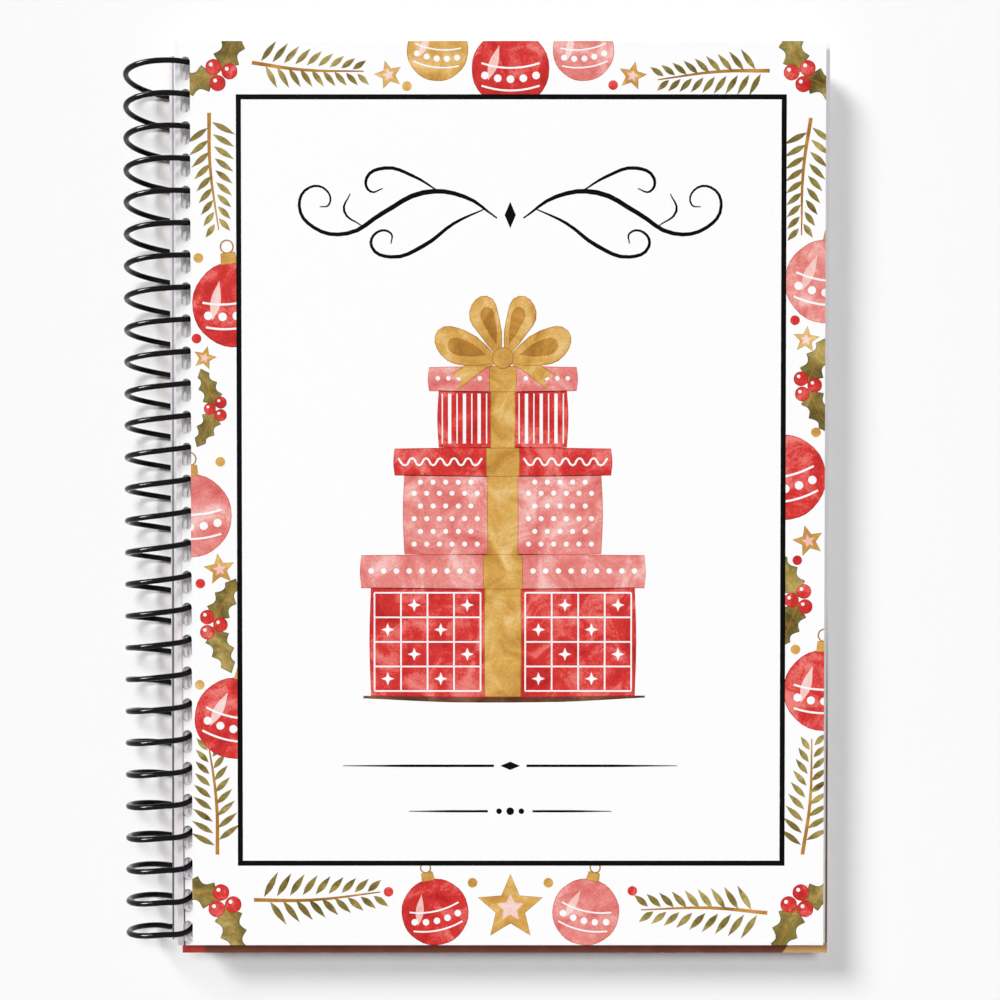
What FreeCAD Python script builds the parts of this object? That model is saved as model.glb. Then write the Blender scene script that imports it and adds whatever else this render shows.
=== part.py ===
import FreeCAD, Part
import Sketcher
import math
import os

# A coil-bound book of card pockets, lying on its back cover.
# X runs from the coil to the fore edge, Y towards the head of the book and Z up.
# The origin is the middle of the footprint, on the surface that the book lies on.

doc = FreeCAD.newDocument("CardBook")
sizes = doc.addObject("Spreadsheet::Sheet", "Sizes")
worked = doc.addObject("Spreadsheet::Sheet", "Worked")

# Driving sizes, in millimetres and degrees

DRIVING_SIZES = {
    # how far apart the turns of the coil are, and how thick its wire is
    "coil_pitch": 6.3,
    "wire_diameter": 1.1,
    # room around the wire in its slots, under the back cover and over the front cover
    "wire_clearance": 0.25,
    "coil_lift": 0.65,
    "coil_headroom": 2.45,
    # the wire runs along the coil faster inside the book, most of all at this angle
    "lead_swing": 0.2,
    "lead_swing_angle": -65,
    # where the turns begin and end, out of sight under the back cover
    "coil_start_angle": -66,
    "coil_end_angle": 270,
    # the ends of the wire are bent over towards the middle of the book
    "tail_bend": 1.6,
    "tail_length": 1.2,
    # from the head of the book to the first turn, and from the last turn to the foot
    "first_turn_drop": 3.2,
    "last_turn_rise": 4.5,
    # covers and pages; a web is the paper left between the slots and the bound edge
    "front_cover_width": 127.6,
    "front_cover_height": 178,
    "front_cover_thickness": 0.4,
    "front_cover_web": 0.9,
    "page_side_overhang": 0.5,
    "page_foot_overhang": 2.0,
    "page_thickness": 0.22,
    "page_web": 1.2,
    "back_cover_thickness": 0.5,
    "back_cover_web": 1.8,
    # a leaf is a page with its pocket
    "leaf_count": 7,
    "leaf_clearance": 0.08,
    # pockets, open at the head; the seals leave room for one card
    "pocket_gap": 0.82,
    "pocket_height": 62,
    "pocket_side_margin": 16,
    "pocket_foot_margin": 60,
    "film_thickness": 0.08,
    "seal_width": 5,
}


def fill_cell(table, row, alias, text):
    table.set(f"A{row}", alias)
    table.set(f"B{row}", text)
    table.setAlias(f"B{row}", alias)


for row, (alias, number) in enumerate(DRIVING_SIZES.items(), start=1):
    fill_cell(sizes, row, alias, str(number))
doc.recompute()

LEAVES = range(1, int(sizes.leaf_count) + 1)

# Sizes worked out from the driving ones

formulas = {
    "wire_radius": "Sizes.wire_diameter / 2",
    "page_width": "Sizes.front_cover_width + Sizes.page_side_overhang",
    "page_height": "Sizes.front_cover_height + Sizes.page_foot_overhang",
    "pocket_width": "page_width - 2 * Sizes.pocket_side_margin",
    "seal_height": "Sizes.pocket_height - Sizes.seal_width",
    "leaf_step": "Sizes.page_thickness + Sizes.pocket_gap + Sizes.film_thickness + Sizes.leaf_clearance",
    "back_cover_bottom": "Sizes.wire_diameter + Sizes.coil_lift",
    "leaves_bottom": "back_cover_bottom + Sizes.back_cover_thickness + Sizes.leaf_clearance",
    "leaf_total": "floor(Sizes.leaf_count)",
    "front_cover_bottom": "leaves_bottom + leaf_total * leaf_step",
    "front_cover_top": "front_cover_bottom + Sizes.front_cover_thickness",
    "coil_top": "front_cover_top + Sizes.coil_headroom + Sizes.wire_diameter",
    "coil_radius": "coil_top / 2 - wire_radius",
    "axis_height": "coil_top / 2",
    "turns_length": "Sizes.front_cover_height - Sizes.first_turn_drop - Sizes.last_turn_rise",
    "slot_count": "floor(turns_length / Sizes.coil_pitch) + 1",
    "slot_row": "(slot_count - 1) * Sizes.coil_pitch",
    "wire_room": "wire_radius + Sizes.wire_clearance",
}


def lead(angle):
    """How far towards the foot the wire has run at an angle about the coil's axis."""
    swing = f"Sizes.lead_swing * sin({angle} - Sizes.lead_swing_angle * 1 deg) / (2 * pi)"
    return f"Sizes.coil_pitch * ({angle} / (360 deg) + {swing})"


def work_out_slots(name, bottom, thickness, turn):
    """Where the wire passes a sheet at rest and at the end of the sheet's turn.

    near and far are the slot's sides, from the coil's axis. head and foot are what the wire
    has run along the coil at the slot's two ends.
    """
    low = f"({bottom} - axis_height)"
    high = f"({bottom} + {thickness} - axis_height)"
    formulas[f"{name}_near"] = f"sqrt((coil_radius - wire_room)^2 - max(-{low}; {high})^2)"
    formulas[f"{name}_far"] = f"sqrt((coil_radius + wire_room)^2 - max(0; {low}; -{high})^2)"
    formulas[f"{name}_first_angle"] = f"asin({low} / coil_radius)"
    formulas[f"{name}_last_angle"] = f"asin({high} / coil_radius) + {turn}"
    formulas[f"{name}_head"] = lead(f"{name}_first_angle")
    formulas[f"{name}_foot"] = lead(f"{name}_last_angle")


work_out_slots("back_cover", "back_cover_bottom", "Sizes.back_cover_thickness", "0 deg")
for leaf in LEAVES:
    formulas[f"page_{leaf}_bottom"] = f"leaves_bottom + (leaf_total - {leaf}) * leaf_step"
    work_out_slots(f"page_{leaf}", f"page_{leaf}_bottom", "Sizes.page_thickness", "180 deg")
work_out_slots("front_cover", "front_cover_bottom", "Sizes.front_cover_thickness", "180 deg")

furthest_slot = "; ".join(f"page_{leaf}_near" for leaf in LEAVES)
formulas["reach"] = f"max({furthest_slot}) - Sizes.page_web + page_width"
formulas["axis_x"] = "(axis_height - reach) / 2"

for row, (alias, formula) in enumerate(formulas.items(), start=1):
    fill_cell(worked, row, alias, f"={formula}")
doc.recompute()


def origin_item(body, role):
    return next(item for item in body.Origin.OriginFeatures if item.Role == role)


def rectangle_sketch(body, name, left, bottom, width, height):
    """A rectangle on the body's XY plane, held by its corner and its two sides."""
    sketch = body.newObject("Sketcher::SketchObject", name)
    sketch.AttachmentSupport = [(origin_item(body, "XY_Plane"), "")]
    sketch.MapMode = "FlatFace"
    corners = [FreeCAD.Vector(x, y, 0) for x, y in ((1, 1), (2, 1), (2, 2), (1, 2))]
    for start, end in zip(corners, corners[1:] + corners[:1]):
        sketch.addGeometry(Part.LineSegment(start, end))
    for line in range(len(corners)):
        following = (line + 1) % len(corners)
        sketch.addConstraint(Sketcher.Constraint("Coincident", line, 2, following, 1))
        sketch.addConstraint(Sketcher.Constraint("Vertical" if line % 2 else "Horizontal", line))
    for kind, start, end, length in (
        ("DistanceX", (-1, 1), (0, 1), left),
        ("DistanceY", (-1, 1), (0, 1), bottom),
        ("DistanceX", (0, 1), (0, 2), width),
        ("DistanceY", (1, 1), (1, 2), height),
    ):
        place = sketch.addConstraint(Sketcher.Constraint(kind, *start, *end, 1.0))
        sketch.setExpression(f"Constraints[{place}]", length)
    return sketch


def bound_sheet(name, width, height):
    """A cover or page, with one slot along its bound edge for each turn of the coil."""
    kind = "page" if name.startswith("page") else name
    body = doc.addObject("PartDesign::Body", name)
    pad = body.newObject("PartDesign::Pad", f"{name}_pad")
    pad.Profile = rectangle_sketch(body, f"{name}_outline", "0", "0", width, height)
    pad.setExpression("Length", f"Sizes.{kind}_thickness")

    cut = body.newObject("PartDesign::Pocket", f"{name}_slot")
    cut.Profile = rectangle_sketch(
        body,
        f"{name}_slot_outline",
        f"Sizes.{kind}_web",
        f"{height} - Sizes.first_turn_drop - Worked.slot_row - Worked.{name}_foot - Worked.wire_room",
        f"Worked.{name}_far - Worked.{name}_near",
        f"Worked.{name}_foot - Worked.{name}_head + 2 * Worked.wire_room",
    )
    cut.Type = "ThroughAll"
    cut.Midplane = True

    row = body.newObject("PartDesign::LinearPattern", f"{name}_slots")
    row.Originals = [cut]
    row.Direction = (origin_item(body, "Y_Axis"), [""])
    row.setExpression("Length", "Worked.slot_row")
    row.setExpression("Occurrences", "Worked.slot_count")
    body.Tip = row

    body.setExpression("Placement.Base.x", f"Worked.axis_x + Worked.{name}_near - Sizes.{kind}_web")
    body.setExpression("Placement.Base.y", f"Worked.page_height / 2 - {height}")
    body.setExpression("Placement.Base.z", f"Worked.{name}_bottom")
    return body


def box(name, sides, corner):
    """A box of three sides with its lowest corner at a place."""
    made = doc.addObject("Part::Box", name)
    for side, length in zip(("Length", "Width", "Height"), sides):
        made.setExpression(side, length)
    for axis, place in zip("xyz", corner):
        made.setExpression(f"Placement.Base.{axis}", place)
    return made


def pocket_corner(leaf):
    """The lowest corner of a leaf's pocket, on top of its page."""
    return (
        f"Worked.axis_x + Worked.page_{leaf}_near - Sizes.page_web + Sizes.pocket_side_margin",
        "Sizes.pocket_foot_margin - Worked.page_height / 2",
        f"Worked.page_{leaf}_bottom + Sizes.page_thickness",
    )


def pocket_seals(leaf):
    """Three strips that hold the pocket's film off the page, at both sides and the foot."""
    x, y, z = pocket_corner(leaf)
    upright = ("Sizes.seal_width", "Worked.seal_height", "Sizes.pocket_gap")
    side_y = f"{y} + Sizes.seal_width"
    strips = [
        box(f"seal_{leaf}_bound_side", upright, (x, side_y, z)),
        box(
            f"seal_{leaf}_fore_side",
            upright,
            (f"{x} + Worked.pocket_width - Sizes.seal_width", side_y, z),
        ),
        box(
            f"seal_{leaf}_foot",
            ("Worked.pocket_width", "Sizes.seal_width", "Sizes.pocket_gap"),
            (x, y, z),
        ),
    ]
    seals = doc.addObject("Part::Compound", f"pocket_seals_{leaf}")
    seals.Links = strips
    return seals


def pocket_film(leaf):
    x, y, z = pocket_corner(leaf)
    return box(
        f"pocket_film_{leaf}",
        ("Worked.pocket_width", "Sizes.pocket_height", "Sizes.film_thickness"),
        (x, y, f"{z} + Sizes.pocket_gap"),
    )


# The coil's wire

HEADWARD = FreeCAD.Vector(0, 1, 0)


def wire_point(angle):
    """The middle of the wire at an angle about the coil's axis."""
    swing_angle = math.radians(sizes.lead_swing_angle)
    turns = (angle + sizes.lead_swing * math.sin(angle - swing_angle)) / (2 * math.pi)
    return FreeCAD.Vector(
        worked.axis_x + worked.coil_radius * math.cos(angle),
        worked.page_height / 2 - sizes.first_turn_drop - sizes.coil_pitch * turns,
        worked.axis_height + worked.coil_radius * math.sin(angle),
    )


def wire_direction(angle):
    swing_angle = math.radians(sizes.lead_swing_angle)
    rate = (1 + sizes.lead_swing * math.cos(angle - swing_angle)) / (2 * math.pi)
    along = FreeCAD.Vector(
        -worked.coil_radius * math.sin(angle),
        -sizes.coil_pitch * rate,
        worked.coil_radius * math.cos(angle),
    )
    return along.normalize()


def tangent_arc(start, corner, end):
    """The arc from start to end whose tangents meet at corner, as far from both."""
    middle = (start + end) / 2
    cosine = (end - middle).Length / (end - corner).Length
    return Part.Arc(start, middle + (corner - middle) * (cosine / (1 + cosine)), end).toShape()


def biarc(start, start_direction, end, end_direction):
    """Two arcs that join smoothly and keep the direction at both ends."""
    across = end - start
    spread = 2 * (1 - start_direction.dot(end_direction))
    pull = across.dot(start_direction + end_direction)
    reach = (math.sqrt(pull**2 + spread * across.dot(across)) - pull) / spread
    first_corner = start + start_direction * reach
    last_corner = end - end_direction * reach
    joint = (first_corner + last_corner) / 2
    return [tangent_arc(start, first_corner, joint), tangent_arc(joint, last_corner, end)]


def bend_point(place, sideways):
    """Where a tail leaves its bend: beside the end of the turns, and lying on the surface."""
    level = FreeCAD.Vector(sideways.x, sideways.y, 0).normalize()
    point = place + level * sizes.tail_bend
    return FreeCAD.Vector(point.x, point.y, worked.wire_radius)


def coil_wire():
    """One unbroken wire: a turn for each slot, in quarter turns, and a bent tail at each end."""
    first = math.radians(sizes.coil_start_angle)
    last = math.radians(sizes.coil_end_angle) + 2 * math.pi * (worked.slot_count - 1)
    quarters = math.ceil((last - first) / (math.pi / 2))
    angles = [first + (last - first) * step / quarters for step in range(quarters + 1)]
    places = [(wire_point(angle), wire_direction(angle)) for angle in angles]
    start, start_direction = places[0]
    end, end_direction = places[-1]
    head_bend = bend_point(start, start_direction * -1) - HEADWARD * sizes.tail_bend
    foot_bend = bend_point(end, end_direction) + HEADWARD * sizes.tail_bend
    tail = HEADWARD * sizes.tail_length

    edges = [Part.LineSegment(head_bend - tail, head_bend).toShape()]
    edges += biarc(head_bend, HEADWARD, start, start_direction)
    for here, there in zip(places, places[1:]):
        edges += biarc(*here, *there)
    edges += biarc(end, end_direction, foot_bend, HEADWARD)
    edges.append(Part.LineSegment(foot_bend, foot_bend + tail).toShape())
    return Part.Wire(edges)


def least_gap(path):
    """The least clear space between stretches of the wire that aren't next to each other."""
    spacing = sizes.wire_diameter / 2
    points = path.discretize(Number=int(path.Length / spacing) + 1)
    skip = int(2 * worked.coil_radius / spacing)
    reach = int(2 * 2 * math.pi * worked.coil_radius / spacing)
    nearest = min(
        (points[here] - points[there]).Length
        for here in range(len(points) - skip)
        for there in range(here + skip, min(here + reach, len(points)))
    )
    return nearest - sizes.wire_diameter


def coil():
    path = coil_wire()
    start = path.Edges[0].firstVertex().Point
    section = Part.Circle(start, HEADWARD, worked.wire_radius)
    tube = path.makePipeShell([Part.Wire(section.toShape())], True)
    made = doc.addObject("Part::Feature", "coil")
    made.Shape = tube
    made.Placement = FreeCAD.Placement()
    share = tube.Volume / (math.pi * worked.wire_radius**2 * path.Length)
    tightest = min(edge.Curve.Radius for edge in path.Edges if isinstance(edge.Curve, Part.Circle))
    print(f"coil: {path.Length:.1f} mm of wire, volume over section times length {share:.4f}")
    print(f"coil: least gap to itself {least_gap(path):.2f} mm, tightest bend {tightest:.2f} mm")
    return made


# The assembly

nodes = [
    bound_sheet("back_cover", "Worked.page_width", "Worked.page_height"),
    bound_sheet("front_cover", "Sizes.front_cover_width", "Sizes.front_cover_height"),
]
for leaf in LEAVES:
    nodes.append(bound_sheet(f"page_{leaf}", "Worked.page_width", "Worked.page_height"))
    nodes.append(pocket_seals(leaf))
    nodes.append(pocket_film(leaf))
nodes.append(coil())
doc.recompute()

for item in doc.Objects:
    faults = {"Invalid", "Error"} & set(item.State)
    if faults:
        raise RuntimeError(f"{item.Label} is {', '.join(sorted(faults))}")
for node in nodes:
    if node.Shape.isNull() or not node.Shape.isValid():
        raise RuntimeError(f"{node.Label} has no valid shape")

os.makedirs("parts", exist_ok=True)
for node in nodes:
    node.Shape.exportStep(f"parts/{node.Label}.step")
print(f"{len(nodes)} nodes written")
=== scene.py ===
import math

import bpy
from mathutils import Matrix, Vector


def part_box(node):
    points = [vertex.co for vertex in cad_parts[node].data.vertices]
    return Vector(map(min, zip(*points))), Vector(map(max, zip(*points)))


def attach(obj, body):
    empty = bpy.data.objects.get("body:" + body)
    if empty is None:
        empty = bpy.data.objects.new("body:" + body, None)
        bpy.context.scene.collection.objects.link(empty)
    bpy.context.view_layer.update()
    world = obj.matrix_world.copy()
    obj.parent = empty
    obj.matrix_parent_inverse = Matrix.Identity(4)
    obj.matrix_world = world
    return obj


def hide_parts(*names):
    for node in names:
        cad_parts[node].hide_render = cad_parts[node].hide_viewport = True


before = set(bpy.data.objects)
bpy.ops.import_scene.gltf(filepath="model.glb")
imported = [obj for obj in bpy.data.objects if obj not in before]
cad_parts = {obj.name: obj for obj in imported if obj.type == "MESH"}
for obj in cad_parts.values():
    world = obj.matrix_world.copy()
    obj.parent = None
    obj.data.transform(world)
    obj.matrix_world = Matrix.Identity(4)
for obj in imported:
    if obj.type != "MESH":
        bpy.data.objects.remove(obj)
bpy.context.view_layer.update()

# Sizes, in metres

MM = 0.001
SAME_POINT = 0.001 * MM
# what is printed on one face of a sheet ends this far in from that face
FACE_DEPTH = 0.03 * MM
LEAVES = range(1, 8)
COIL_LOW, COIL_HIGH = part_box("coil")
COVER_LOW, COVER_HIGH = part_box("front_cover")
COVER_TOP = COVER_HIGH.z

# the coil's wire, as the part's source winds it
WIRE_RADIUS = 0.55 * MM
COIL_REACH = (COIL_HIGH.z - COIL_LOW.z) / 2
AXIS_X = COIL_LOW.x + COIL_REACH
AXIS_Z = COIL_LOW.z + COIL_REACH
# a hair less than the solid's, so that the smooth curve stays above the surface it lies on
COIL_RADIUS = COIL_REACH - WIRE_RADIUS - 0.03 * MM
COIL_PITCH = 6.3 * MM
TURNS = 28
POINTS_PER_TURN = 18
FIRST_TURN_DROP = 3.2 * MM
# within each turn, the wire runs along the coil a little faster and then a little slower
LEAD_SWING = 0.2
LEAD_SWING_ANGLE = math.radians(-65)
# near the front cover's holes the lower turns sag towards the foot, more and more from SAG_START down
SAG_START = -10 * MM
SAG_GROWTH = 0.016
SAG_ANGLE = math.radians(36)
SAG_SPREAD = math.radians(30)
# the first turn starts and the last one ends here, and both ends go on into a bent tail
START_ANGLE = math.radians(-66)
END_ANGLE = math.radians(270)
TAIL_BEND = 1.6 * MM
TAIL_LENGTH = 1.2 * MM

# Helpers for modelling


def start_piece():
    """Object mode with nothing selected, ready for a new primitive."""
    if bpy.context.object and bpy.context.object.mode != "OBJECT":
        bpy.ops.object.mode_set(mode="OBJECT")
    bpy.ops.object.select_all(action="DESELECT")


def pick(piece, *others):
    """Selects a piece and makes it the active one, with any others selected too."""
    start_piece()
    for item in (*others, piece):
        item.select_set(True)
    bpy.context.view_layer.objects.active = piece


def settle(piece, name):
    """Names a new piece and moves its place into its mesh."""
    pick(piece)
    bpy.ops.object.transform_apply(location=True, rotation=True, scale=True)
    piece.name = name
    piece.data.name = name
    return piece


def use_modifier(piece, kind, **settings):
    """Adds a modifier, sets it and applies it."""
    pick(piece)
    modifier = piece.modifiers.new(kind.title(), kind)
    for setting, value in settings.items():
        setattr(modifier, setting, value)
    bpy.ops.object.modifier_apply(modifier=modifier.name)


def edit_points(piece, wanted):
    """Goes into edit mode with only those points selected that pass the test."""
    pick(piece)
    bpy.ops.object.mode_set(mode="EDIT")
    bpy.ops.mesh.select_mode(type="VERT")
    bpy.ops.mesh.select_all(action="DESELECT")
    bpy.ops.object.mode_set(mode="OBJECT")
    for point in piece.data.vertices:
        point.select = wanted(point.co)
    bpy.ops.object.mode_set(mode="EDIT")


def close_up(piece, same_point):
    """Joins the caps of a mesh made from a curve to its walls, and turns every face outwards."""
    pick(piece)
    bpy.ops.object.mode_set(mode="EDIT")
    bpy.ops.mesh.select_all(action="SELECT")
    bpy.ops.mesh.remove_doubles(threshold=same_point)
    bpy.ops.mesh.normals_make_consistent(inside=False)
    bpy.ops.object.mode_set(mode="OBJECT")


def box_piece(name, low, high):
    """A cube stretched between two corners."""
    start_piece()
    bpy.ops.mesh.primitive_cube_add(size=1, location=(Vector(low) + Vector(high)) / 2)
    piece = bpy.context.object
    piece.scale = Vector(high) - Vector(low)
    return settle(piece, name)


# Helpers for materials


def colour(hex_code):
    """An sRGB hex colour as linear red, green, blue and alpha."""
    channels = [int(hex_code[place : place + 2], 16) / 255 for place in (1, 3, 5)]
    linear = [c / 12.92 if c <= 0.04045 else ((c + 0.055) / 1.055) ** 2.4 for c in channels]
    return (*linear, 1.0)


def add(tree, kind, inputs=None, **settings):
    """Adds a node with its settings, and sets or links its inputs."""
    node = tree.nodes.new(kind)
    for setting, value in settings.items():
        setattr(node, setting, value)
    for socket, value in (inputs or {}).items():
        if isinstance(value, bpy.types.NodeSocket):
            tree.links.new(value, node.inputs[socket])
        else:
            node.inputs[socket].default_value = value
    return node


def new_material(name):
    """A material with its shader, its node tree and the place of each point in metres."""
    material = bpy.data.materials.new(name)
    material.use_nodes = True
    tree = material.node_tree
    shader = tree.nodes["Principled BSDF"]
    place = add(tree, "ShaderNodeTexCoord").outputs["Object"]
    return material, tree, shader, place


def dress(piece, material):
    """Gives a piece its one material."""
    piece.data.materials.clear()
    piece.data.materials.append(material)


# Materials


def black_pvc():
    """Extruded PVC wire: deep black, glossy, with faint die lines and handling marks."""
    material, tree, shader, place = new_material("extruded_black_pvc")
    marks = add(tree, "ShaderNodeTexNoise", {"Vector": place, "Scale": 1 / (1.6 * MM), "Detail": 4.0})
    gloss = add(
        tree, "ShaderNodeMapRange", {"Value": marks.outputs["Fac"], "To Min": 0.08, "To Max": 0.16}
    )
    tint = add(
        tree,
        "ShaderNodeMix",
        {"Factor": marks.outputs["Fac"], "A": colour("#020202"), "B": colour("#060607")},
        data_type="RGBA",
    )
    # the die's marks are finer than this, and are drawn 0.25 mm coarse so that they show
    grain = add(tree, "ShaderNodeTexNoise", {"Vector": place, "Scale": 1 / (0.25 * MM), "Detail": 2.0})
    bump = add(
        tree, "ShaderNodeBump", {"Height": grain.outputs["Fac"], "Strength": 0.05, "Distance": 0.02 * MM}
    )
    tree.links.new(tint.outputs["Result"], shader.inputs["Base Color"])
    tree.links.new(gloss.outputs["Result"], shader.inputs["Roughness"])
    tree.links.new(bump.outputs["Normal"], shader.inputs["Normal"])
    shader.inputs["Specular IOR Level"].default_value = 0.12
    shader.inputs["IOR"].default_value = 1.53
    return material


def cover_card():
    """Satin coated card: a clean white face with a faint fibre mottle.

    A lavender-grey strip of painted shade runs along its bound edge, wider and greyer towards the foot.
    """
    strip_at_foot, strip_at_head = 1.42 * MM, 0.5 * MM
    strip_blur = 0.06 * MM
    palest_from = 20 * MM
    # where the brown line of painted shade at the strip's edge lies, and from where it starts to show
    edge_shade_place, edge_shade_half = -0.1 * MM, 0.15 * MM
    edge_shade_from = 35 * MM
    material, tree, shader, place = new_material("satin_coated_card")
    # single fibres are too fine to show, so the mottle has the size of their clumps
    fibre = add(tree, "ShaderNodeTexNoise", {"Vector": place, "Scale": 1 / (0.9 * MM), "Detail": 6.0})
    axes = add(tree, "ShaderNodeSeparateXYZ", {"Vector": place})
    edge = add(
        tree,
        "ShaderNodeMapRange",
        {
            "Value": axes.outputs["Y"],
            "From Min": COVER_LOW.y,
            "From Max": COVER_HIGH.y,
            "To Min": COVER_LOW.x + strip_at_foot,
            "To Max": COVER_LOW.x + strip_at_head,
        },
    )
    beside = add(
        tree,
        "ShaderNodeMath",
        {0: axes.outputs["X"], 1: edge.outputs["Result"]},
        operation="SUBTRACT",
    ).outputs["Value"]
    ramps = {}
    for name, value, start, end in (
        ("strip", beside, strip_blur, -strip_blur),
        ("headward", axes.outputs["Y"], COVER_LOW.y, palest_from),
        ("footward", axes.outputs["Y"], edge_shade_from, COVER_LOW.y),
        ("inside", axes.outputs["Z"], COVER_LOW.z + FACE_DEPTH, COVER_LOW.z + FACE_DEPTH / 3),
    ):
        ramp = add(tree, "ShaderNodeMapRange", {"Value": value, "From Min": start, "From Max": end})
        ramps[name] = ramp.outputs["Result"]
    # painted shade: the strip's lavender grey, darker towards the foot
    lavender = add(
        tree,
        "ShaderNodeMix",
        {"Factor": ramps["headward"], "A": colour("#e2dce1"), "B": colour("#f8f5f8")},
        data_type="RGBA",
    ).outputs["Result"]
    # a brown line of painted shade ends the strip, faint at mid height and strong at the foot
    edge_shade_line = add(
        tree,
        "ShaderNodeMath",
        {0: beside, 1: edge_shade_place, 2: edge_shade_half},
        operation="COMPARE",
    ).outputs["Value"]
    growth = add(tree, "ShaderNodeMath", {0: ramps["footward"], 1: 2.0}, operation="POWER")
    edge_shade_strength = add(
        tree,
        "ShaderNodeMath",
        {0: edge_shade_line, 1: growth.outputs["Value"]},
        operation="MULTIPLY",
    )
    # the inside isn't coated, and shows the card's own warm white
    face = colour("#fefefe")
    for factor, shade in (
        (fibre.outputs["Fac"], colour("#fbfbfb")),
        (ramps["strip"], lavender),
        (edge_shade_strength.outputs["Value"], colour("#5a3329")),
        (ramps["inside"], colour("#efece5")),
    ):
        blend = add(tree, "ShaderNodeMix", {"Factor": factor, "A": face, "B": shade}, data_type="RGBA")
        face = blend.outputs["Result"]
    bump = add(
        tree, "ShaderNodeBump", {"Height": fibre.outputs["Fac"], "Strength": 0.08, "Distance": 0.02 * MM}
    )
    tree.links.new(face, shader.inputs["Base Color"])
    tree.links.new(bump.outputs["Normal"], shader.inputs["Normal"])
    shader.inputs["Roughness"].default_value = 0.6
    shader.inputs["Specular IOR Level"].default_value = 0.05
    shader.inputs["IOR"].default_value = 1.48
    return material


def page_paper(number):
    """Uncoated paper: soft lavender white with a fibre mottle.

    A print runs off its foot, and a dark line runs along the lower half of its fore edge.
    """
    low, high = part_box(f"page_{number}")
    foot_line = low.y + 2 * MM
    foot_blur = 0.1 * MM
    # on the pages below the first, the band at the foot starts beside the punched slots
    band_start = low.x + (9 * MM if number > 1 else -1 * MM)
    fore_line = high.x - 0.35 * MM
    tan_slope = 0.8
    tan_line = high.x - 9 * MM - tan_slope * low.y
    material, tree, shader, place = new_material(f"uncoated_paper_{number}")
    fibre = add(tree, "ShaderNodeTexNoise", {"Vector": place, "Scale": 1 / (0.8 * MM), "Detail": 6.0})
    pigment = add(tree, "ShaderNodeTexNoise", {"Vector": place, "Scale": 1 / (5 * MM), "Detail": 5.0})
    axes = add(tree, "ShaderNodeSeparateXYZ", {"Vector": place})
    slant = add(
        tree,
        "ShaderNodeMath",
        {0: axes.outputs["Y"], 1: -tan_slope, 2: axes.outputs["X"]},
        operation="MULTIPLY_ADD",
    ).outputs["Value"]
    ramps = {}
    for name, value, start, end in (
        ("printed_side", axes.outputs["Z"], (low.z + high.z) / 2, high.z - 0.02 * MM),
        ("below_foot_line", axes.outputs["Y"], foot_line, foot_line - foot_blur),
        ("above_foot_line", axes.outputs["Y"], foot_line - foot_blur, foot_line),
        ("past_band_start", axes.outputs["X"], band_start, band_start + 0.1 * MM),
        ("fore_edge", axes.outputs["X"], fore_line, fore_line + 0.05 * MM),
        ("lower_half", axes.outputs["Y"], -20 * MM, -50 * MM),
        ("red_end", axes.outputs["X"], low.x + 5 * MM, low.x + 3.5 * MM),
        ("tan_end", slant, tan_line, tan_line + 0.3 * MM),
    ):
        ramp = add(tree, "ShaderNodeMapRange", {"Value": value, "From Min": start, "From Max": end})
        ramps[name] = ramp.outputs["Result"]
    masks = {}
    for name, parts in (
        ("foot", ("below_foot_line", "past_band_start")),
        ("fore", ("fore_edge", "lower_half", "above_foot_line")),
    ):
        masks[name] = ramps["printed_side"]
        for part in parts:
            product = add(tree, "ShaderNodeMath", {0: masks[name], 1: ramps[part]}, operation="MULTIPLY")
            masks[name] = product.outputs["Value"]
    # a dark line along the lower half of the fore edge
    shades = {"fore_edge_dark_line": colour("#76604c")}
    for name, mottle, first, second in (
        ("paper", fibre, "#f8f6f9", "#efecf1"),
        ("brown", pigment, "#7d4330", "#4c2317"),
        ("red", pigment, "#c8463a", "#9c2a22"),
        ("tan", pigment, "#d3a56c", "#bd8c55"),
    ):
        blend = add(
            tree,
            "ShaderNodeMix",
            {"Factor": mottle.outputs["Fac"], "A": colour(first), "B": colour(second)},
            data_type="RGBA",
        )
        shades[name] = blend.outputs["Result"]
    for name, factor, under, over in (
        ("band", ramps["red_end"], "brown", "red"),
        ("band", ramps["tan_end"], "band", "tan"),
        ("face", masks["foot"], "paper", "band"),
        ("face", masks["fore"], "face", "fore_edge_dark_line"),
    ):
        blend = add(
            tree,
            "ShaderNodeMix",
            {"Factor": factor, "A": shades[under], "B": shades[over]},
            data_type="RGBA",
        )
        shades[name] = blend.outputs["Result"]
    bump = add(
        tree, "ShaderNodeBump", {"Height": fibre.outputs["Fac"], "Strength": 0.15, "Distance": 0.02 * MM}
    )
    tree.links.new(shades["face"], shader.inputs["Base Color"])
    tree.links.new(bump.outputs["Normal"], shader.inputs["Normal"])
    shader.inputs["Roughness"].default_value = 0.75
    shader.inputs["Specular IOR Level"].default_value = 0.2
    shader.inputs["IOR"].default_value = 1.48
    return material


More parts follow.
